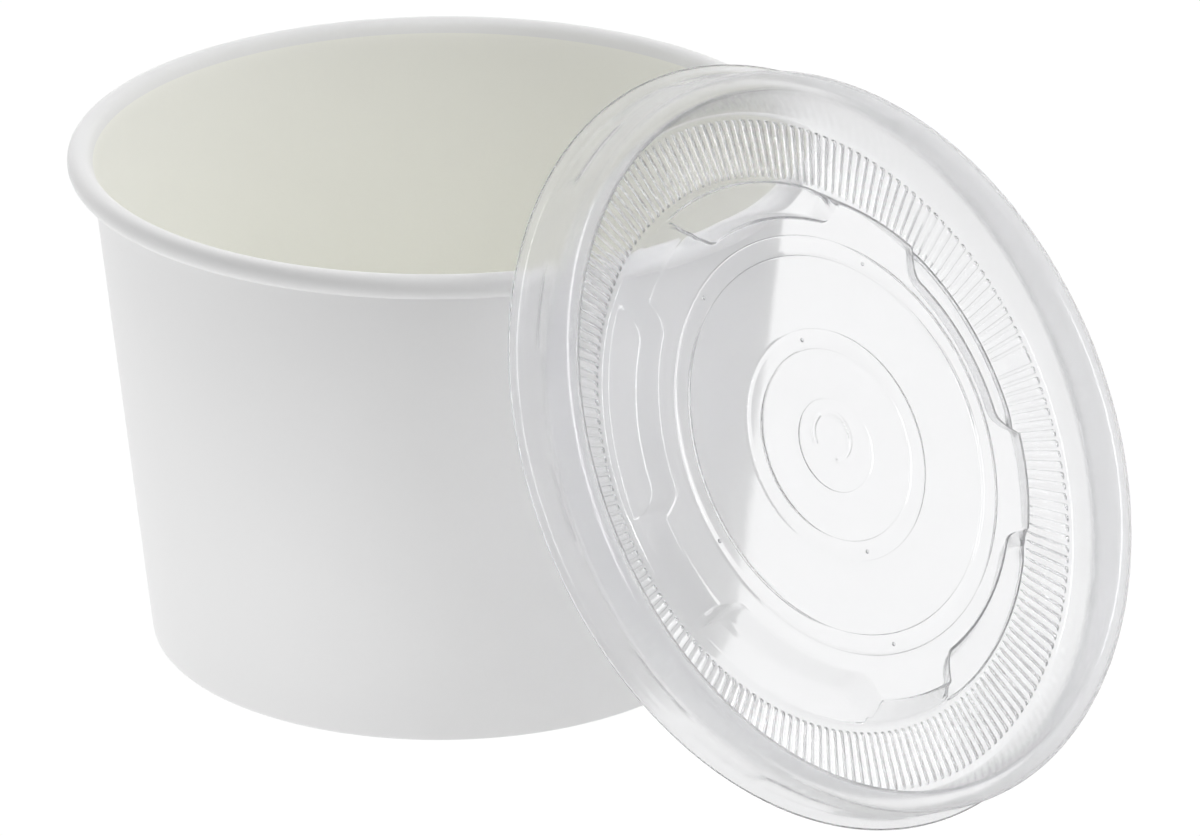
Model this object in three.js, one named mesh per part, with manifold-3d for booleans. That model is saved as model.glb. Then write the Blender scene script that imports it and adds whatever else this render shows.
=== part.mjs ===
// A paper soup cup, empty, with its clear lid leaning against the rim.
// Millimetres, +Z up. The cup stands on z = 0 and the lid stands on the edge of its flange.
import * as THREE from 'three'
import Module from 'manifold-3d'
import { mergeGeometries, mergeVertices } from 'three/addons/utils/BufferGeometryUtils.js'

// Cup
const RIM_R = 57.5 // outside of the rolled rim
const ROLL_R = 1.85 // radius of the roll itself
const CUP_H = 80.5
const BASE_R = 46.3 // outside of the wall where it stands
const TOP_R = 53.8 // outside of the wall under the roll
const PAPER = 0.5
const SEAM = { bearing: 118, width: 9, lift: 0.3 } // glued lap up the wall, at the back
const BASE_Z = 8 // top of the recessed base
const BASE_GAP = 0.3

// Lid, in its own frame: r from its axis, h above the underside of its flange
const LID_T = 0.45
const HUB = { r: 7.4, h: 3.85 } // small step round the middle
const RINGS = [ // beads on the plate: inner and outer radius, height beside and on top
  { from: 14.9, to: 18.1, low: 4.15, high: 4.5 },
  { from: 29.4, to: 32.6, low: 4.4, high: 4.95 },
]
const PLATE = { r: 39.7, h: 4.7 } // raised middle of the lid
const SHELF = { r: 42.1, h: 1.2 } // floor of the pockets in the plate's edge
const MOAT = { from: 42.6, to: 52.8 } // channel round the plate, its floor at h = 0
const CREST = { inner: 54.1, top: 55.6, outer: 56.8, h: 9.5 } // rounded bead at the rim
const SKIRT_R = 57.35
const FLANGE_R = 59.5
const POCKETS = { count: 5, first: 8, half: 22, edgeR: 35.6, footR: 37.3 }
const LUGS = { count: 12, first: 21, half: 7, depth: 0.75, low: 0.9, high: 3.6 } // dents that grip the cup
const RIBS = { count: 190, from: 43.2, to: 52.3, width: 0.72, h: 0.42 }

// How the lid leans: its axis, the middle of its flange, and how far the flange is sprung off that axis
const LID_AXIS = new THREE.Vector3(0.6357, -0.559, 0.5323).normalize()
const LID_CENTRE = new THREE.Vector3(55.45, -49.85, 50.48)
const SPRUNG = 1.5

const SEGMENTS = 72

const wasm = await Module()
wasm.setup()
const rad = THREE.MathUtils.degToRad

/** Point at radius r, bearing a in degrees and height h. */
const polar = (r, a, h) => new THREE.Vector3(r * Math.cos(rad(a)), r * Math.sin(rad(a)), h)

/** Turns a section about Z. Its points [r, h] run down the outside, and close up or end on the axis. */
function lathe(section) {
  const points = section.map(([r, h]) => new THREE.Vector2(r, h)).reverse()
  return new THREE.LatheGeometry(points, SEGMENTS).rotateX(Math.PI / 2)
}

/** Skins a row of matching loops and closes both ends. */
function loft(loops) {
  const n = loops[0].length
  const index = []
  for (let i = 0; i < loops.length - 1; i++) {
    for (let k = 0; k < n; k++) {
      const a = i * n + k
      const b = i * n + ((k + 1) % n)
      index.push(a, a + n, b + n, a, b + n, b)
    }
  }
  const end = (loops.length - 1) * n
  for (let k = 1; k < n - 1; k++) {
    index.push(0, k, k + 1, end, end + k + 1, end + k)
  }
  return new THREE.BufferGeometry().setFromPoints(loops.flat()).setIndex(index)
}

/** Copies of a geometry at evenly spaced bearings. */
function around(geometry, count) {
  const copies = []
  for (let i = 0; i < count; i++) {
    copies.push(geometry.clone().rotateZ((2 * Math.PI * i) / count))
  }
  return mergeGeometries(copies)
}

/** A closed geometry as a solid that can be cut and joined. */
function solid(geometry) {
  geometry.deleteAttribute('normal')
  geometry.deleteAttribute('uv')
  const merged = mergeVertices(geometry, 1e-4)
  return new wasm.Manifold(new wasm.Mesh({
    numProp: 3,
    vertProperties: new Float32Array(merged.attributes.position.array),
    triVerts: new Uint32Array(merged.index.array),
  }))
}

/** Part of a ring between two levels { r, to, h, half }, reaching half degrees each side of a bearing. */
function sector(bearing, low, high, steps) {
  const loops = []
  for (let i = 0; i <= steps; i++) {
    const t = (2 * i) / steps - 1
    loops.push([
      polar(low.r, bearing + t * low.half, low.h),
      polar(low.to, bearing + t * low.half, low.h),
      polar(high.to, bearing + t * high.half, high.h),
      polar(high.r, bearing + t * high.half, high.h),
    ])
  }
  return loft(loops)
}

/** Everything under the lid's outer face, or under its inner face with d the thickness of the sheet. */
function underLid(d) {
  const plate = d > 0
    ? [[0, HUB.h - d], [RINGS[0].to, RINGS[0].low - d], [RINGS[1].to, RINGS[1].low - d]]
    : [
      [0, HUB.h], [HUB.r - 0.2, HUB.h], [HUB.r + 0.2, RINGS[0].low],
      ...RINGS.flatMap(({ from, to, low, high }) => [
        [from, low], [from + 0.3, high], [to - 0.3, high], [to, low + 0.1],
      ]),
    ]
  const flange = d > 0
    ? [[FLANGE_R - 1.6, -0.2], [FLANGE_R + 2, -0.2], [FLANGE_R + 2, -6], [0, -6]]
    : [[FLANGE_R - 1.15, 0.25], [FLANGE_R, 0.25], [FLANGE_R, -5], [0, -5]]
  const body = lathe([
    ...plate,
    [PLATE.r - 0.4 * d, PLATE.h - d],
    [SHELF.r - 0.9 * d, SHELF.h - d],
    [MOAT.from - 0.9 * d, -d],
    [MOAT.to + 0.9 * d, -d],
    [MOAT.to + 0.25 + d, 0.4],
    [CREST.inner - 0.2 + d, CREST.h - 0.9],
    [CREST.inner + 0.2 + d, CREST.h - 0.25 - d],
    [CREST.top, CREST.h - d],
    [CREST.outer - d, CREST.h - 0.4 - d],
    [SKIRT_R - d, CREST.h - 1.4],
    [SKIRT_R + 0.35 - d, 3.4],
    [SKIRT_R + 0.75 - d, 0.65],
    ...flange,
  ])
  const pocket = sector(
    POCKETS.first,
    { r: POCKETS.footR - 0.8 * d, to: 44.5, h: SHELF.h - d, half: POCKETS.half - 1.5 + d },
    { r: POCKETS.edgeR - 0.8 * d, to: 44.5, h: PLATE.h + 1, half: POCKETS.half + 1 + d },
    8,
  )
  const lugR = SKIRT_R + 0.5 - LUGS.depth - d
  const lug = sector(
    LUGS.first,
    { r: lugR, to: 60.5, h: LUGS.low - d, half: LUGS.half + d },
    { r: lugR, to: 60.5, h: LUGS.high + d, half: LUGS.half + 0.6 + d },
    3,
  )
  return solid(body)
    .subtract(solid(around(pocket, POCKETS.count)))
    .subtract(solid(around(lug, LUGS.count)))
}

/** The ribs on the channel's floor, each a bar with tapered sides and ends. */
function ribs() {
  const { from, to, width, h } = RIBS
  const loop = (inset, w, z) => [
    new THREE.Vector3(from + inset, -w / 2, z), new THREE.Vector3(to - inset, -w / 2, z),
    new THREE.Vector3(to - inset, w / 2, z), new THREE.Vector3(from + inset, w / 2, z),
  ]
  return solid(around(loft([loop(0.4, width / 2, h), loop(0, width, -0.1)]), RIBS.count))
}

/** The lid in its own frame, its skirt drawn sideways towards the sprung flange. */
function lidGeometry() {
  const geometry = surface(underLid(0).subtract(underLid(LID_T)).add(ribs()))
  const at = geometry.attributes.position
  for (let i = 0; i < at.count; i++) {
    if (Math.hypot(at.getX(i), at.getY(i)) > CREST.top) {
      at.setY(i, at.getY(i) + SPRUNG * THREE.MathUtils.clamp(1 - at.getZ(i) / 8, 0, 1))
    }
  }
  return geometry
}

/** The cup's side wall with the roll round its rim and the glued lap. */
function wallGeometry() {
  const middle = { r: RIM_R - ROLL_R, z: CUP_H - ROLL_R }
  const neck = middle.z - 1.2
  const roll = new THREE.EllipseCurve(middle.r, middle.z, ROLL_R, ROLL_R, rad(142), rad(-142), true)
  const section = [
    [TOP_R - PAPER, neck],
    ...roll.getPoints(9).map((p) => [p.x, p.y]),
    [TOP_R, neck], [BASE_R, 0], [BASE_R - PAPER, 0], [TOP_R - PAPER, neck],
  ]
  const lap = [-1, 0, 1].map((side) => {
    const bearing = SEAM.bearing + (side * SEAM.width) / 2
    return [
      polar(BASE_R - 0.2, bearing, 0.4), polar(BASE_R + SEAM.lift, bearing, 0.4),
      polar(TOP_R + SEAM.lift, bearing, neck - 1.2), polar(TOP_R - 0.2, bearing, neck - 1.2),
    ]
  })
  return surface(solid(lathe(section)).add(solid(loft(lap))))
}

/** The recessed base, a disc with its edge turned down inside the wall. */
function baseGeometry() {
  const inside = (z) => THREE.MathUtils.lerp(BASE_R, TOP_R, z / (CUP_H - ROLL_R - 1.2)) - PAPER - BASE_GAP
  const foot = 0.8
  return lathe([
    [0, BASE_Z], [inside(BASE_Z) - 0.5, BASE_Z], [inside(BASE_Z), BASE_Z - 0.5], [inside(foot), foot],
    [inside(foot) - PAPER, foot], [inside(foot) - PAPER, BASE_Z - PAPER], [0, BASE_Z - PAPER],
  ])
}

/** The surface of a solid. */
function surface(body) {
  const { vertProperties, triVerts } = body.getMesh()
  const geometry = new THREE.BufferGeometry()
  geometry.setAttribute('position', new THREE.BufferAttribute(new Float32Array(vertProperties), 3))
  return geometry.setIndex(new THREE.BufferAttribute(new Uint32Array(triVerts), 1))
}

/** A named mesh with a material of its own. */
function piece(name, geometry, look) {
  geometry.computeVertexNormals()
  const mesh = new THREE.Mesh(geometry, new THREE.MeshStandardMaterial({ metalness: 0, ...look }))
  mesh.name = name
  return mesh
}

const wall = piece('cup_wall', wallGeometry(), { color: 0xf1f1f0, roughness: 0.55 })
const base = piece('cup_base', baseGeometry(), { color: 0xe6e4da, roughness: 0.55 })
const lid = piece('lid', lidGeometry(), { color: 0xf2f4f6, roughness: 0.12, opacity: 0.3, transparent: true })

const across = new THREE.Vector3(0, 0, 1).cross(LID_AXIS).normalize()
const upslope = new THREE.Vector3().crossVectors(LID_AXIS, across)
lid.applyMatrix4(new THREE.Matrix4().makeBasis(across, upslope, LID_AXIS))
lid.position.copy(LID_CENTRE).addScaledVector(upslope, -SPRUNG)

// The middle of the whole footprint goes to the origin
const pair = new THREE.Group().add(wall, base, lid)
const middle = new THREE.Box3().setFromObject(pair, true).getCenter(new THREE.Vector3())
pair.position.set(-middle.x, -middle.y, 0)

export default new THREE.Group().add(pair)
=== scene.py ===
"""A paper soup cup, empty, and its clear push-on lid leaning against the rim."""

import logging
import math
from collections.abc import Callable
from dataclasses import dataclass
from enum import Enum
from typing import Any

import bmesh
import bpy
import numpy as np
from mathutils import Matrix, Vector

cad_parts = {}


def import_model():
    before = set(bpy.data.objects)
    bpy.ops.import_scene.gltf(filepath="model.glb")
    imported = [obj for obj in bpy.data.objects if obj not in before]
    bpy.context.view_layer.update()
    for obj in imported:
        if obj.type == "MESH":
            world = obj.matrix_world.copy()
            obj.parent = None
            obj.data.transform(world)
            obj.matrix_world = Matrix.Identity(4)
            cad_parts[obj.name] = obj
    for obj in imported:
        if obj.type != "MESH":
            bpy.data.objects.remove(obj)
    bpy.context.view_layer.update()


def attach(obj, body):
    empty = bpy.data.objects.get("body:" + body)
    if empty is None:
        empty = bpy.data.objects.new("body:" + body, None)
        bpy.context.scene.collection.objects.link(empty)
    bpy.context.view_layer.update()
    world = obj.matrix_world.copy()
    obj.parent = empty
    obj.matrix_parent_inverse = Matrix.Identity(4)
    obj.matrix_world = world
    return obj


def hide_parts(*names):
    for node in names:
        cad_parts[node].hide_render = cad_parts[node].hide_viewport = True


MM = 0.001
MERGE = 1e-7  # metres between points that count as one
MITRE_LIMIT = 0.75  # least cosine at a corner that an offset line keeps its distance round
CUP_AXIS = Vector((-24.12, 22.565, 0.0)) * MM
WHITE = (1.0, 1.0, 1.0)
WHITE_LEVEL = 1.02  # glow that just comes out as the photograph's white

Numbers = np.ndarray | float
Point = tuple[float, float]
Triple = tuple[float, float, float]

log = logging.getLogger("soup_cup")


def smoothstep(low: float, high: float, value: Numbers) -> Numbers:
    """A soft step from 0 at low to 1 at high."""
    t = np.clip((value - low) / (high - low), 0.0, 1.0)
    return t * t * (3.0 - 2.0 * t)


def window(offset: Numbers, half: float, soft: float) -> Numbers:
    """1 where |offset| is under half, falling softly to 0 round it.

    Args:
        offset: Distances from the middle.
        half: Half the width, where the value is a half.
        soft: Width of the slope.

    Returns:
        A weight for each offset.
    """
    return 1.0 - smoothstep(half - soft / 2, half + soft / 2, np.abs(offset))


def slot(offset: np.ndarray, half: float, corner: float, power: float) -> np.ndarray:
    """How deep a slot with tapered sides and rounded corners is cut at each distance.

    Args:
        offset: Distances from the slot's middle.
        half: Half the slot's width at its mouth.
        corner: How much of that the side and the corner take up.
        power: How quickly the side steepens.

    Returns:
        A share of the full depth for each offset.
    """
    return 1.0 - (1.0 - np.clip((half - np.abs(offset)) / corner, 0.0, 1.0)) ** power


def reach(point: Vector) -> Point:
    """A point's distance from Z and its height, in millimetres."""
    return math.hypot(point.x, point.y) / MM, point.z / MM


def offset_line(points: np.ndarray, depth: float) -> np.ndarray:
    """Moves a section line sideways, to the right of the way it runs.

    Args:
        points: Points (r, h) of the line.
        depth: How far it moves.

    Returns:
        The moved points, one for each given one.
    """
    run = np.diff(points, axis=0)
    normal = np.stack([run[:, 1], -run[:, 0]], axis=1)
    normal /= np.linalg.norm(normal, axis=1)[:, None]
    before = np.vstack([normal[:1], normal])
    after = np.vstack([normal, normal[-1:]])
    mean = before + after
    mean /= np.linalg.norm(mean, axis=1)[:, None]
    stretch = 1.0 / np.clip((mean * after).sum(axis=1), MITRE_LIMIT, 1.0)
    return points + mean * depth * stretch[:, None]


def spun(section: list[Point], steps: int, closed: bool) -> bmesh.types.BMesh:
    """Spins a section (r, h) in millimetres about Z.

    Args:
        section: The section's points.
        steps: Number of columns round.
        closed: Whether the last point joins the first.

    Returns:
        The surface, in metres, with its faces pointing outwards.
    """
    bm = bmesh.new()
    verts = [bm.verts.new((r * MM, 0.0, h * MM)) for r, h in section]
    edges = [bm.edges.new(pair) for pair in zip(verts, verts[1:])]
    if closed:
        edges.append(bm.edges.new((verts[-1], verts[0])))
    bmesh.ops.spin(
        bm, geom=verts + edges, cent=(0, 0, 0), axis=(0, 0, 1),
        angle=math.tau, steps=steps, use_merge=True,
    )
    bmesh.ops.remove_doubles(bm, verts=bm.verts, dist=MERGE)
    bmesh.ops.recalc_face_normals(bm, faces=bm.faces)
    return bm


def finished(bm: bmesh.types.BMesh, name: str, place: Matrix) -> bpy.types.Object:
    """Turns a mesh under construction into a smooth object whose place is in its mesh.

    Args:
        bm: The mesh, which is freed.
        name: The object's name.
        place: Where it goes in the row frame.

    Returns:
        The object, at the origin.
    """
    bmesh.ops.transform(bm, matrix=place, verts=bm.verts)
    for face in bm.faces:
        face.smooth = True
    mesh = bpy.data.meshes.new(name)
    bm.to_mesh(mesh)
    bm.free()
    piece = bpy.data.objects.new(name, mesh)
    bpy.context.scene.collection.objects.link(piece)
    return piece


@dataclass(frozen=True)
class Row:
    """Equal features round an axis: the first one's bearing and their pitch, in degrees."""

    first: float
    pitch: float

    def offset(self, angle: Numbers) -> Numbers:
        """Each bearing's offset in degrees from the nearest feature."""
        return (angle - self.first + self.pitch / 2) % self.pitch - self.pitch / 2


@dataclass(frozen=True)
class Value:
    """A number that a node gives out, for arithmetic."""

    bench: "Bench"
    socket: bpy.types.NodeSocket

    def _with(self, operation: str, first: Any, second: Any) -> "Value":
        """Adds a Math node on two values."""
        node = self.bench.node("ShaderNodeMath", {"operation": operation}, {0: first, 1: second})
        return Value(self.bench, node.outputs[0])

    def __add__(self, other: Any) -> "Value":
        """The sum."""
        return self._with("ADD", self, other)

    __radd__ = __add__

    def __sub__(self, other: Any) -> "Value":
        """The difference."""
        return self._with("SUBTRACT", self, other)

    def __rsub__(self, other: Any) -> "Value":
        """The difference from a number."""
        return self._with("SUBTRACT", other, self)

    def __mul__(self, other: Any) -> "Value":
        """The product."""
        return self._with("MULTIPLY", self, other)

    def __pow__(self, other: Any) -> "Value":
        """The power."""
        return self._with("POWER", self, other)

    def at_least(self, floor: float) -> "Value":
        """The value, or floor where it is less."""
        return self._with("MAXIMUM", self, floor)


class Bench:
    """The nodes of one material, or of the surroundings, under construction."""

    def __init__(self, block: bpy.types.Material | bpy.types.World) -> None:
        """Clears the nodes of a material or a world.

        Args:
            block: The material or world.
        """
        block.use_nodes = True
        self.block = block
        self.tree = block.node_tree
        self.tree.nodes.clear()

    def node(
        self, kind: str, settings: dict[str, Any], sockets: dict[Any, Any]
    ) -> bpy.types.Node:
        """Adds a node.

        Args:
            kind: The node's type.
            settings: Its own settings.
            sockets: A number, colour, Value or output socket for each input, by name or index.

        Returns:
            The node.
        """
        node = self.tree.nodes.new(kind)
        for key, value in settings.items():
            setattr(node, key, value)
        for key, value in sockets.items():
            if isinstance(value, Value):
                value = value.socket
            if isinstance(value, bpy.types.NodeSocket):
                self.tree.links.new(value, node.inputs[key])
            elif isinstance(value, tuple) and node.inputs[key].type == "RGBA":
                node.inputs[key].default_value = (*value, 1.0)
            else:
                node.inputs[key].default_value = value
        return node

    def place(self) -> bpy.types.NodeSocket:
        """The point on the piece, in metres."""
        return self.node("ShaderNodeTexCoord", {}, {}).outputs["Object"]

    def noise(self, scale: float, detail: float) -> Value:
        """Cloudy noise from 0 to 1.

        Args:
            scale: Clouds to the metre.
            detail: Octaves.

        Returns:
            The noise.
        """
        sockets = {"Vector": self.place(), "Scale": scale, "Detail": detail}
        return Value(self, self.node("ShaderNodeTexNoise", {}, sockets).outputs["Fac"])

    def blend(self, weight: Any, first: Any, second: Any) -> bpy.types.NodeSocket:
        """A colour between two, by weight."""
        node = self.node("ShaderNodeMix", {"data_type": "RGBA"}, {0: weight, 6: first, 7: second})
        return node.outputs[2]

    def axis_of(self, vector: bpy.types.NodeSocket, axis: str) -> Value:
        """One coordinate of a vector."""
        return Value(self, self.node("ShaderNodeSeparateXYZ", {}, {0: vector}).outputs[axis])

    def fade(self, value: Value, start: float, end: float) -> Value:
        """A soft step from 0 at start to 1 at end."""
        settings = {"interpolation_type": "SMOOTHSTEP"}
        node = self.node("ShaderNodeMapRange", settings, {0: value, 1: start, 2: end})
        return Value(self, node.outputs[0])

    def vector_math(self, operation: str, first: Any, second: Any = None) -> bpy.types.Node:
        """Adds a Vector Math node on one or two vectors."""
        sockets = {0: first} if second is None else {0: first, 1: second}
        return self.node("ShaderNodeVectorMath", {"operation": operation}, sockets)

    def gauss(self, vector: bpy.types.NodeSocket, centre: Triple, spread: float) -> Value:
        """A soft spot that is 1 at centre and falls away over spread."""
        far = Value(self, self.vector_math("DISTANCE", vector, centre).outputs["Value"])
        far = far * (1.0 / spread)
        spot = self.node("ShaderNodeMath", {"operation": "EXPONENT"}, {0: far * far * -0.5})
        return Value(self, spot.outputs[0])

    def axis_distance(self, vector: bpy.types.NodeSocket, centre: Vector, axis: Vector) -> Value:
        """How far a point is from a line through centre along the unit axis."""
        arm = self.vector_math("SUBTRACT", vector, tuple(centre))
        cross = self.vector_math("CROSS_PRODUCT", arm.outputs[0], tuple(axis))
        return Value(self, self.vector_math("LENGTH", cross.outputs[0]).outputs["Value"])

    def bump(self, height: Value, distance: float, strength: float) -> bpy.types.NodeSocket:
        """A normal roughened by a height, with its depth in metres."""
        sockets = {"Height": height, "Distance": distance, "Strength": strength}
        return self.node("ShaderNodeBump", {}, sockets).outputs["Normal"]

    def finish(self, shader: bpy.types.Node) -> bpy.types.Material | bpy.types.World:
        """Sends a shader to the output and hands over the material or world."""
        output = "World" if isinstance(self.block, bpy.types.World) else "Material"
        self.node("ShaderNodeOutput" + output, {}, {"Surface": shader.outputs[0]})
        return self.block


@dataclass(frozen=True)
class CoatedPaper:
    """Smooth paperboard under a thin film: faint clouding, fibre grain and a soft gloss."""

    name: str
    light: Triple
    dark: Triple
    roughness: float = 0.5
    roughness_spread: float = 0.16
    gloss: float = 0.35
    cloud_scale: float = 45.0
    fibre_scale: float = 1400.0
    fibre_share: float = 0.3
    fibre_depth: float = 0.00003
    fibre_strength: float = 0.35

    def material(self) -> bpy.types.Material:
        """The finish as a material."""
        bench = Bench(bpy.data.materials.new(self.name))
        clouds = bench.noise(self.cloud_scale, 2.0)
        fibres = bench.noise(self.fibre_scale, 2.0)
        weight = clouds * (1.0 - self.fibre_share) + fibres * self.fibre_share
        smoothest = self.roughness - self.roughness_spread / 2
        shader = bench.node("ShaderNodeBsdfPrincipled", {}, {
            "Base Color": bench.blend(weight, self.dark, self.light),
            "Roughness": smoothest + fibres * self.roughness_spread,
            "Specular IOR Level": self.gloss,
            "Normal": bench.bump(fibres, self.fibre_depth, self.fibre_strength),
        })
        return bench.finish(shader)


@dataclass(frozen=True)
class ClearPlastic:
    """Thin clear polypropylene: refracting, glossy, a little hazy and wavy.

    Its rim is where the sheet was drawn, from the first distance off the axis to the second.
    """

    name: str
    tint: Triple = (0.985, 0.987, 0.992)
    milk: Triple = (0.9, 0.9, 0.92)
    milk_roughness: float = 0.6
    haze: float = 0.12
    rim_haze: float = 0.01
    rim: Point = (0.052, 0.0545)
    roughness: float = 0.06
    speck_roughness: float = 0.05
    rim_roughness: float = 0.14
    ior: float = 1.44
    wave_scale: float = 55.0
    wave_depth: float = 0.00003
    speck_scale: float = 700.0

    def material(self, centre: Vector, axis: Vector) -> bpy.types.Material:
        """The finish as a material.

        Args:
            centre: A point on the lid's axis.
            axis: The axis's direction.

        Returns:
            The material, hazier in the drawn sheet of the rim.
        """
        bench = Bench(bpy.data.materials.new(self.name))
        waves = bench.noise(self.wave_scale, 1.0)
        specks = bench.noise(self.speck_scale, 1.0)
        drawn = bench.fade(bench.axis_distance(bench.place(), centre, axis), *self.rim)
        roughness = self.roughness + specks * self.speck_roughness + drawn * self.rim_roughness
        clear = bench.node("ShaderNodeBsdfPrincipled", {}, {
            "Base Color": self.tint,
            "Roughness": roughness,
            "Transmission Weight": 1.0,
            "IOR": self.ior,
            "Normal": bench.bump(waves, self.wave_depth, 1.0),
        })
        milk = bench.node("ShaderNodeBsdfPrincipled", {}, {
            "Base Color": self.milk,
            "Roughness": self.milk_roughness,
            "Specular IOR Level": 0.0,
        })
        share = drawn * self.rim_haze + self.haze
        sockets = {0: share, 1: clear.outputs[0], 2: milk.outputs[0]}
        return bench.finish(bench.node("ShaderNodeMixShader", {}, sockets))


@dataclass(frozen=True)
class Lap:
    """The glued lap up the cup's wall: bearing and width in degrees, the rest in millimetres."""

    row: Row = Row(118.0, 360.0)
    half: float = 4.5
    soft: float = 0.9
    thickness: float = 0.3
    bottom: float = 0.3
    top: float = 76.5

    def lift(self, point: Vector) -> float:
        """How far the lap lifts the wall's outer face at a point."""
        offset = self.row.offset(math.degrees(math.atan2(point.y, point.x)))
        return self.thickness * float(window(offset, self.half, self.soft))


@dataclass(frozen=True)
class SoupCup:
    """The paper cup: a tapered wall with a rolled rim, and a recessed base. In millimetres."""

    height: float = 80.5
    rim_radius: float = 57.5
    roll_radius: float = 1.85
    neck_drop: float = 1.2
    base_radius: float = 46.3
    top_radius: float = 53.8
    paper: float = 0.5
    lining_top: float = 78.8
    base_height: float = 8.0
    base_gap: float = 0.12
    foot_height: float = 1.0
    columns: int = 360
    lap: Lap = Lap()
    outside: CoatedPaper = CoatedPaper("paper_white", (0.9, 0.9, 0.9), (0.865, 0.865, 0.866))
    inside: CoatedPaper = CoatedPaper(
        "paper_cream", (0.955, 0.955, 0.907), (0.94, 0.94, 0.89), roughness=0.42
    )

    def wall_radius(self, z: float) -> float:
        """Outside radius of the wall at a height."""
        neck = self.height - self.roll_radius - self.neck_drop
        return self.base_radius + (self.top_radius - self.base_radius) * z / neck

    def wall_section(self) -> list[Point]:
        """The wall's section, up the inside, over the roll and down the outside."""
        inner = (0.25, 4, 8, 20, 35, 50, 65, 74, 76.6)
        outer = (76.9, 76.2, 74, 65, 50, 35, 20, 8, 4, 0.6)
        size = self.roll_radius
        middle_r, middle_z = self.rim_radius - size, self.height - size
        return [
            *((self.wall_radius(z) - self.paper, z) for z in inner),
            (self.wall_radius(77.4) - 0.42, 77.6),
            (self.wall_radius(78.2) - 0.32, 78.5),
            *(
                (middle_r + size * math.cos(turn), middle_z + size * math.sin(turn))
                for turn in map(math.radians, range(156, -181, -12))
            ),
            *((self.wall_radius(z), z) for z in outer),
            (self.base_radius - 0.08, 0.12),
            (self.base_radius - 0.2, 0.0),
            (self.base_radius - 0.38, 0.03),
        ]

    def base_section(self) -> list[Point]:
        """The base's section, out along the top, round the turned-down edge and back below."""
        level, foot_level = self.base_height, self.foot_height
        radius = self.wall_radius(level) - self.paper - self.base_gap
        foot = self.wall_radius(foot_level) - self.paper - self.base_gap
        return [
            (0.0, level - 0.1), (20.0, level - 0.06), (38.0, level),
            (radius - 1.2, level), (radius - 0.4, level - 0.1), (radius - 0.06, level - 0.5),
            (foot, foot_level), (foot - 0.45, foot_level),
            (radius - 0.6, level - 0.8), (radius - 1.3, level - 0.5),
            (38.0, level - 0.5), (20.0, level - 0.56), (0.0, level - 0.6),
        ]

    def build_wall(self) -> bpy.types.Object:
        """Makes the wall, cream inside and white outside."""
        bm = spun(self.wall_section(), self.columns, True)
        roll_middle = self.rim_radius - self.roll_radius
        for face in bm.faces:
            radius, z = reach(face.calc_center_median())
            inner = radius < min(self.wall_radius(z) - self.paper / 2, roll_middle)
            face.material_index = int(inner and z < self.lining_top)
        for vert in bm.verts:
            radius, z = reach(vert.co)
            if self.lap.bottom < z < self.lap.top and radius > self.wall_radius(z) - 0.01:
                vert.co.xy *= 1.0 + self.lap.lift(vert.co) / radius
        wall = finished(bm, "cup_wall_paper", Matrix.Translation(CUP_AXIS))
        wall.data.materials.append(self.outside.material())
        wall.data.materials.append(self.inside.material())
        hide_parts("cup_wall")
        return wall

    def build_base(self) -> bpy.types.Object:
        """Makes the base, a disc with its edge turned down inside the wall."""
        bm = spun(self.base_section(), self.columns, False)
        base = finished(bm, "cup_base_paper", Matrix.Translation(CUP_AXIS))
        base.data.materials.append(self.inside.material())
        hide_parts("cup_base")
        return base

    def build(self) -> list[bpy.types.Object]:
        """Makes the cup's pieces."""
        return [self.build_wall(), self.build_base()]


class Zone(Enum):
    """What a stretch of the lid's section belongs to."""

    PLATE = "plate"
    EDGE = "edge"
    FOOT = "foot"
    RIBS = "ribs"
    RIM = "rim"
    SKIRT = "skirt"


@dataclass(frozen=True)
class Station:
    """A point of the lid's section: its zone, where it is in a lobe and where in a pocket."""

    zone: Zone
    lobe: Point
    pocket: Point | None = None

    @property
    def pressed(self) -> Point:
        """Where the point is in the middle of a pocket."""
        return self.pocket or self.lobe


@dataclass(frozen=True)
class GateMark:
    """The small C-shaped bead in the middle of the lid: where it is, its section and its gap."""

    middle: float = 1.5
    radius: float = 3.7
    half: float = 0.34
    soft: float = 0.36
    height: float = 0.38
    gap_bearing: float = 215.0
    gap_half: float = 36.0
    gap_soft: float = 12.0

    def lift(self, x: np.ndarray, y: np.ndarray) -> np.ndarray:
        """How far the bead raises the sheet at each point."""
        y = y - self.middle
        bead = window(np.hypot(x, y) - self.radius, self.half, self.soft)
        turn = np.degrees(np.arctan2(y, x)) % 360.0
        gap = window(turn - self.gap_bearing, self.gap_half, self.gap_soft)
        return self.height * bead * (1.0 - gap)


@dataclass(frozen=True)
class Band:
    """A stretch of the lid, between two radii, whose columns are cut finer."""

    low: float
    high: float
    cuts: int


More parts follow.
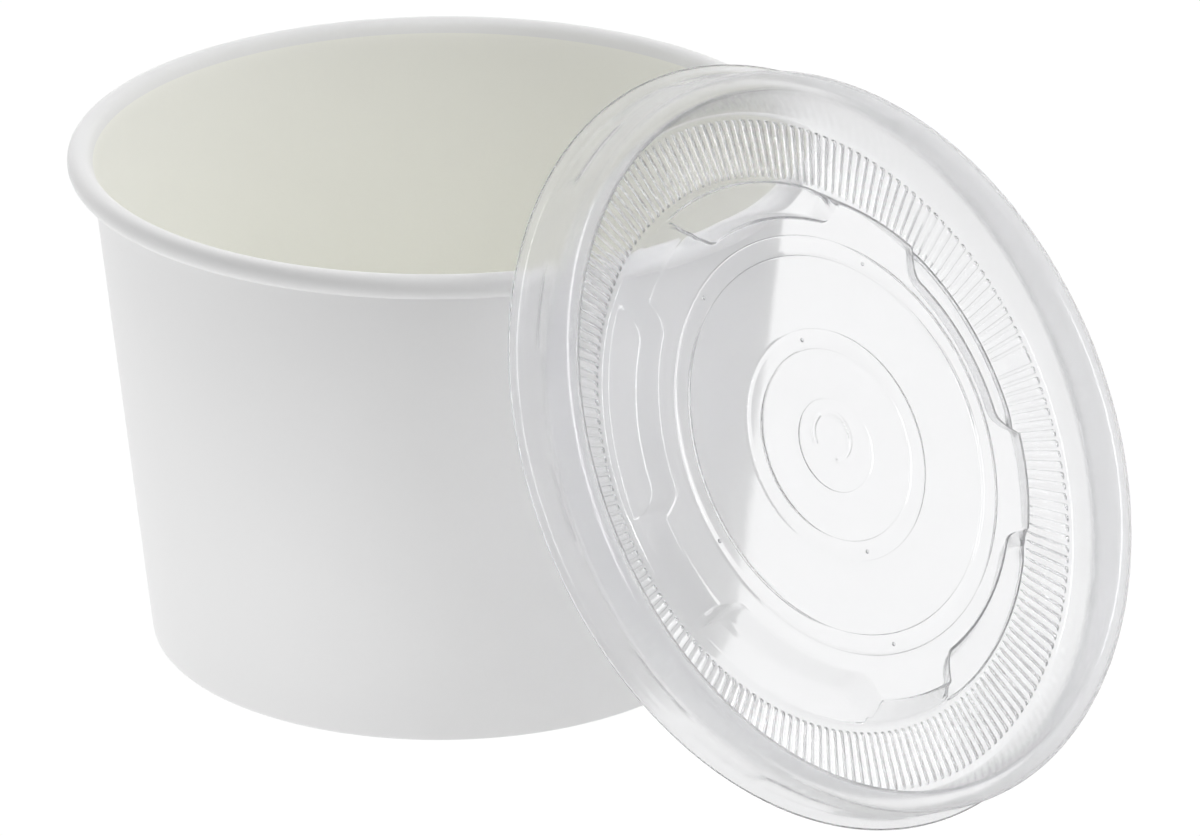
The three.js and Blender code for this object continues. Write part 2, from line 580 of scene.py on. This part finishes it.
@dataclass(frozen=True)
class ClearLid:
    """The clear lid, in its own frame: r from its axis, h above its flange.

    Sizes are in millimetres and bearings in degrees. Beads run from one radius to another, with
    the height beside and on top.
    """

    axis: Triple = (0.6357, -0.559, 0.5323)
    centre: Triple = (55.45, -49.85, 50.48)
    sprung: float = 1.5
    sprung_from: float = 55.6
    sprung_height: float = 8.0
    sheet: float = 0.42
    columns: int = 190
    bands: tuple[Band, ...] = (Band(33.0, 42.9, 3), Band(42.9, 52.4, 7), Band(52.4, 60.0, 1))
    beads: tuple[tuple[float, ...], ...] = ((14.95, 18.05, 4.16, 4.5), (29.45, 32.55, 4.4, 4.95))
    ribs: Row = Row(0.0, 360.0 / 190)
    rib_height: float = 0.42
    pockets: Row = Row(8.8, 72.0)
    pocket_radius: float = 37.5
    dents: Row = Row(21.0, 30.0)
    dent_depth: float = 0.55
    gate: GateMark = GateMark()
    pip_radius: float = 0.34
    pips: tuple[Triple, ...] = (
        (2.0, 16.3, 4.53), (20.5, 22.8, 4.98), (-14.0, 28.2, 4.98),
        (-31.8, -5.0, 4.95), (-3.8, -16.3, 4.53), (-7.2, -30.3, 4.98),
    )
    plastic: ClearPlastic = ClearPlastic("clear_plastic")

    def place(self) -> Matrix:
        """The lid's frame in the row frame."""
        normal = Vector(self.axis).normalized()
        across = Vector((0, 0, 1)).cross(normal).normalized()
        upslope = normal.cross(across)
        centre = Vector(self.centre) - upslope * self.sprung
        turn = Matrix((across, upslope, normal)).transposed().to_4x4()
        return Matrix.Translation(CUP_AXIS + centre * MM) @ turn

    def plate_section(self) -> list[Point]:
        """The plate's upper face, from the middle over the hub's step and the two beads."""
        hub = [(0, 3.85), (1.2, 3.85), *((1.6 + 0.25 * k, 3.85) for k in range(19))]
        step = [(7.1, 3.86), (7.34, 3.92), (7.44, 4.07), (7.56, 4.15), (10.5, 4.16)]
        inner, outer = (
            [
                (start - 0.3, low), (start, low + 0.03), (start + 0.1, (low + high) / 2),
                (start + 0.22, high - 0.03), (start + 0.7, high),
                ((start + end) / 2, high + 0.03),
                (end - 0.7, high), (end - 0.22, high - 0.03),
                (end - 0.1, (low + high) / 2 + 0.05), (end, low + 0.13), (end + 0.3, low + 0.1),
            ]
            for start, end, low, high in self.beads
        )
        return hub + step + inner + [(21.5, 4.28), (25.5, 4.34)] + outer

    def outer_stations(self) -> list[Station]:
        """The upper face's section, from the middle to the flange's edge."""
        edge = [
            ((37.4, 4.7), (33.4, 4.62)), ((38.9, 4.7), (34.9, 4.63)), ((39.3, 4.63), (35.3, 4.57)),
            ((39.55, 4.4), (35.55, 4.35)), ((39.75, 3.98), (35.75, 3.96)),
        ]
        foot = [
            ((41.35, 1.7), (36.95, 1.75)), ((41.5, 1.5), (37.15, 1.45)),
            ((41.65, 1.3), (37.5, 1.23)), ((41.8, 1.1), (38.1, 1.2)),
            ((42.0, 0.8), (41.9, 1.18)), ((42.1, 0.62), (42.15, 1.06)),
            ((42.25, 0.4), (42.3, 0.8)), ((42.45, 0.12), (42.5, 0.18)),
            ((42.75, 0.0), (42.8, 0.0)),
        ]
        channel = [(r, 0.0) for r in (43.1, 43.3, 43.6, 44.2, 47.7, 51.2, 51.8, 52.1, 52.3)]
        rim = [
            (52.7, 0.03), (52.95, 0.25), (53.1, 0.7), (53.3, 2.2), (53.65, 4.6), (53.95, 7.0),
            (54.1, 8.1), (54.3, 8.75), (54.65, 9.2), (55.1, 9.43), (55.6, 9.5), (56.1, 9.42),
            (56.6, 9.18), (57.0, 8.78),
        ]
        skirt = [
            (57.3, 8.25), (57.38, 7.6), (57.45, 6.4), (57.58, 4.9), (57.64, 4.2), (57.68, 3.85),
            (57.7, 3.5), (57.76, 3.1), (57.85, 2.2), (57.95, 1.4), (57.99, 1.1), (58.03, 0.9),
            (58.1, 0.6), (58.25, 0.38), (58.55, 0.26), (59.2, 0.23), (59.42, 0.16), (59.5, 0.02),
        ]
        return [
            *(Station(Zone.PLATE, point) for point in self.plate_section()),
            *(Station(Zone.EDGE, lobe, pocket) for lobe, pocket in edge),
            *(Station(Zone.FOOT, lobe, pocket) for lobe, pocket in foot),
            *(Station(Zone.RIBS, point) for point in channel),
            *(Station(Zone.RIM, point) for point in rim),
            *(Station(Zone.SKIRT, point) for point in skirt),
        ]

    def lower_stations(self, upper: list[Station]) -> list[Station]:
        """The lower face's section, from the middle to just short of the flange's edge.

        Args:
            upper: The upper face's stations.

        Returns:
            A station under each of them but the last.
        """
        flat = np.array([s.zone in (Zone.PLATE, Zone.RIBS) for s in upper])
        lines = []
        for line in (np.array([s.lobe for s in upper]), np.array([s.pressed for s in upper])):
            under = offset_line(line, self.sheet)
            under[:, 0] = np.maximum(under[:, 0], 0.0)
            under[flat] = line[flat] - (0.0, self.sheet)
            lines.append(under)
        lower = [
            Station(s.zone, tuple(lobe), tuple(pocket) if s.pocket else None)
            for s, lobe, pocket in zip(upper[:-1], *lines)
        ]
        lower[0] = Station(Zone.PLATE, (0.0, lower[0].lobe[1]))
        return lower

    def refine(self, bm: bmesh.types.BMesh) -> None:
        """Cuts the rings of the spun skin finer in the bands where its relief is fine.

        Args:
            bm: The skin.
        """
        rings: dict[Band, list[bmesh.types.BMEdge]] = {band: [] for band in self.bands}
        for edge in bm.edges:
            (near, bottom), (far, top) = (reach(vert.co) for vert in edge.verts)
            if max(abs(near - far), abs(bottom - top)) * MM < MERGE:
                for band in self.bands:
                    if band.low <= near < band.high:
                        rings[band].append(edge)
        for band, ring in rings.items():
            bmesh.ops.subdivide_edges(bm, edges=ring, cuts=band.cuts, use_grid_fill=True)

    def relief(
        self, stations: list[Station], upper: int, index: np.ndarray, angle: np.ndarray
    ) -> tuple[np.ndarray, np.ndarray]:
        """Where each point of the skin goes once the lid's relief is pressed in.

        Args:
            stations: The skin's stations.
            upper: How many of them the upper face has.
            index: Each point's station.
            angle: Each point's bearing.

        Returns:
            Each point's r and h.
        """
        lobe = np.array([s.lobe for s in stations])[index]
        pressed = np.array([s.pressed for s in stations])[index]
        zone = np.array([s.zone.value for s in stations])[index]
        arc = np.radians(self.pockets.offset(angle)) * self.pocket_radius
        mouth, floor = slot(arc, 16.3, 4.1, 2.2), slot(arc, 15.2, 4.2, 2.8)
        weight = np.where(zone == Zone.EDGE.value, mouth, floor)
        r, h = (lobe + (pressed - lobe) * weight[:, None]).T

        crown = 1.0 - smoothstep(0.13, 0.36, np.abs(self.ribs.offset(angle)) / self.ribs.pitch)
        ends = smoothstep(43.05, 43.75, r) * (1.0 - smoothstep(51.65, 52.35, r))
        h = h + np.where(zone == Zone.RIBS.value, self.rib_height * crown * ends, 0.0)

        across = window(self.dents.offset(angle), 6.8, 4.0)
        along = smoothstep(0.5, 1.8, h) * (1.0 - smoothstep(2.6, 4.3, h))
        r = r - np.where(zone == Zone.SKIRT.value, self.dent_depth * across * along, 0.0)

        on_plate = (zone == Zone.PLATE.value) & (index < upper)
        mark = self.gate.lift(r * np.cos(np.radians(angle)), r * np.sin(np.radians(angle)))
        return r, h + np.where(on_plate, mark, 0.0)

    def press(self, bm: bmesh.types.BMesh, stations: list[Station], upper: int) -> None:
        """Presses the relief into the skin and springs its flange sideways.

        Args:
            bm: The skin.
            stations: Its stations.
            upper: How many of them the upper face has.
        """
        co = np.array([vert.co for vert in bm.verts]) / MM
        angle = np.degrees(np.arctan2(co[:, 1], co[:, 0]))
        here = np.stack([np.hypot(co[:, 0], co[:, 1]), co[:, 2]], axis=1)
        section = np.array([s.lobe for s in stations])
        batches = 40
        index = np.concatenate([
            np.argmin(((part[:, None] - section[None]) ** 2).sum(axis=2), axis=1)
            for part in np.array_split(here, batches)
        ])
        r, h = self.relief(stations, upper, index, angle)
        x, y = r * np.cos(np.radians(angle)), r * np.sin(np.radians(angle))
        shift = self.sprung * np.clip(1.0 - h / self.sprung_height, 0.0, 1.0)
        y = y + np.where(r > self.sprung_from, shift, 0.0)
        for vert, point in zip(bm.verts, np.stack([x, y, h], axis=1) * MM):
            vert.co = point

    def build(self) -> list[bpy.types.Object]:
        """Makes the lid."""
        upper = self.outer_stations()
        stations = upper + self.lower_stations(upper)[::-1]
        bm = spun([s.lobe for s in stations], self.columns, False)
        self.refine(bm)
        self.press(bm, stations, len(upper))
        for spot in self.pips:
            dome = Matrix.Translation(Vector(spot) * MM) @ Matrix.Diagonal((1.0, 1.0, 0.5, 1.0))
            bmesh.ops.create_uvsphere(
                bm, u_segments=12, v_segments=8, radius=self.pip_radius * MM, matrix=dome
            )
        place = self.place()
        lid = finished(bm, "lid_clear", place)
        lid.data.materials.append(self.plastic.material(place.translation, place.col[2].to_3d()))
        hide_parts("lid")
        return [lid]


@dataclass(frozen=True)
class Lobe:
    """A soft light from one side: its direction, how narrow it is and its strength."""

    aim: Triple
    power: float
    strength: float

    def light(self, bench: Bench, outward: bpy.types.NodeSocket) -> Value:
        """The lobe's light from the direction outward."""
        facing = bench.vector_math("DOT_PRODUCT", outward, tuple(Vector(self.aim).normalized()))
        return Value(bench, facing.outputs["Value"]).at_least(0.0) ** self.power * self.strength


@dataclass(frozen=True)
class Studio:
    """Camera, floor and light. Places are in metres and angles in degrees."""

    position: Triple = (-0.02412, -0.973135, 0.461)
    pitch: float = 23.23
    yaw: float = 1.42
    roll: float = -0.03
    sensor: float = 36.0
    lens: float = 36.0 * 6899.0 / 1200.0
    stage_reach: float = 4.0
    tent_radius: float = 3.8
    lobes: tuple[Lobe, ...] = (
        Lobe((-1.0, 1.0, 0.2), 5.0, 1.71),
        Lobe((-1.0, 0.0, 0.15), 5.0, 0.34),
        Lobe((-1.0, 0.1, 0.03), 25.0, 1.6),
        Lobe((0.0, 1.0, 0.6), 12.0, 1.2),
        Lobe((0.0, 0.6, 1.0), 20.0, 0.8),
        Lobe((0.6, 0.6, 1.0), 20.0, 1.2),
        Lobe((0.0, -1.0, 1.0), 5.0, 0.92),
        Lobe((1.0, 0.0, 1.0), 5.0, 1.5),
        Lobe((1.0, 0.0, 0.15), 5.0, 0.2),
    )

    def set_camera(self) -> None:
        """Puts the camera where the photograph was taken from."""
        data = bpy.data.cameras.new("camera")
        data.lens, data.sensor_width, data.sensor_fit = self.lens, self.sensor, "HORIZONTAL"
        data.clip_start, data.clip_end = 0.05, 50.0
        camera = bpy.data.objects.new("camera", data)
        turn = (
            Matrix.Rotation(math.radians(-self.yaw), 4, "Z")
            @ Matrix.Rotation(math.radians(90.0 - self.pitch), 4, "X")
            @ Matrix.Rotation(math.radians(self.roll), 4, "Z")
        )
        camera.matrix_world = Matrix.Translation(self.position) @ turn
        bpy.context.scene.collection.objects.link(camera)
        bpy.context.scene.camera = camera

    def glowing(
        self, name: str, bm: bmesh.types.BMesh, seen: set[str], strength: Callable[[Bench], Any]
    ) -> None:
        """Adds a glowing stage surface that only some kinds of ray see.

        Args:
            name: The surface's name.
            bm: Its mesh.
            seen: The kinds of ray that see it: camera, diffuse, glossy, transmission or shadow.
            strength: Gives the strength of its glow.
        """
        surface = finished(bm, name, Matrix.Identity(4))
        bench = Bench(bpy.data.materials.new(name))
        sockets = {"Color": WHITE, "Strength": strength(bench)}
        material = bench.finish(bench.node("ShaderNodeEmission", {}, sockets))
        material.cycles.emission_sampling = "AUTO" if "diffuse" in seen else "NONE"
        surface.data.materials.append(material)
        for kind in ("camera", "diffuse", "glossy", "transmission", "shadow"):
            setattr(surface, f"visible_{kind}", kind in seen)

    def bounce(self, bench: Bench) -> Value:
        """The light that the floor throws up.

        It is less in front, behind and at the lid's foot, and most just left of the cup's front.

        Args:
            bench: The floor's nodes.

        Returns:
            The strength of the floor's glow.
        """
        place = bench.place()
        front = bench.fade(bench.axis_of(place, "Y"), -0.075, -0.2)
        behind = bench.fade(bench.axis_of(place, "Y"), 0.05, 0.2)
        shade = bench.gauss(place, (0.1, -0.07, 0.0), 0.07)
        spot = bench.gauss(place, (-0.09, -0.13, 0.0), 0.05)
        total = WHITE_LEVEL - front * 0.968 - behind * 0.55 - shade + spot * 1.55
        return total.at_least(0.0)

    def tent(self, bench: Bench) -> Value:
        """What the plastic mirrors and bends.

        It is a white tent, dimmer overhead and in front, with a strip light over the front.

        Args:
            bench: The tent's nodes.

        Returns:
            The strength of the tent's glow.
        """
        place = bench.place()
        across, along, up = (bench.axis_of(place, axis) for axis in "XYZ")
        high = bench.fade(up, 0.5, 3.6)
        front = bench.fade(along, -0.5, -3.5)
        strip = (1.0 - bench.fade(across * across, 0.04, 0.5)) * (1.0 - bench.fade(along, 0.0, 0.8))
        strip = strip * bench.fade(up, 0.6, 1.3)
        return WHITE_LEVEL - high * 0.25 - front * 0.2 + strip * 10.0

    def set_stage(self) -> None:
        """Lays the white floor, the light that it throws up, and the white surroundings.

        The floor that throws up light is a sheet of its own, just above the one that is seen.
        """
        for name, level, seen, glow in (
            ("floor", -0.0004, {"camera", "glossy", "transmission"}, lambda bench: WHITE_LEVEL),
            ("floor_bounce", -0.0002, {"diffuse", "shadow"}, self.bounce),
        ):
            bm = bmesh.new()
            bmesh.ops.create_grid(bm, x_segments=1, y_segments=1, size=self.stage_reach)
            bmesh.ops.translate(bm, verts=bm.verts, vec=(0.0, 0.0, level))
            self.glowing(name, bm, seen, glow)
        for name, radius, seen, glow in (
            ("backdrop", self.stage_reach, {"camera"}, lambda bench: WHITE_LEVEL),
            ("tent", self.tent_radius, {"glossy", "transmission"}, self.tent),
        ):
            bm = bmesh.new()
            bmesh.ops.create_uvsphere(bm, u_segments=48, v_segments=24, radius=radius)
            self.glowing(name, bm, seen, glow)

    def light_up(self) -> None:
        """Sets the soft lights all round, each a lobe of the surroundings."""
        bench = Bench(bpy.data.worlds.new("studio"))
        outward = bench.node("ShaderNodeTexCoord", {}, {}).outputs["Generated"]
        total = sum(lobe.light(bench, outward) for lobe in self.lobes)
        sky = bench.node("ShaderNodeBackground", {}, {"Color": WHITE, "Strength": total})
        world = bench.finish(sky)
        world.cycles_visibility.glossy = world.cycles_visibility.transmission = False
        bpy.context.scene.world = world
        bpy.context.scene.view_settings.view_transform = "Standard"


def main() -> None:
    """Builds the cup, the lid and the studio."""
    logging.basicConfig(level=logging.INFO, format="%(message)s")
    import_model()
    studio = Studio()
    studio.set_camera()
    studio.set_stage()
    studio.light_up()
    for assembly in (SoupCup(), ClearLid()):
        for piece in assembly.build():
            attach(piece, "root")
            log.info("%s: %d faces", piece.name, len(piece.data.polygons))


if __name__ == "__main__":
    main()
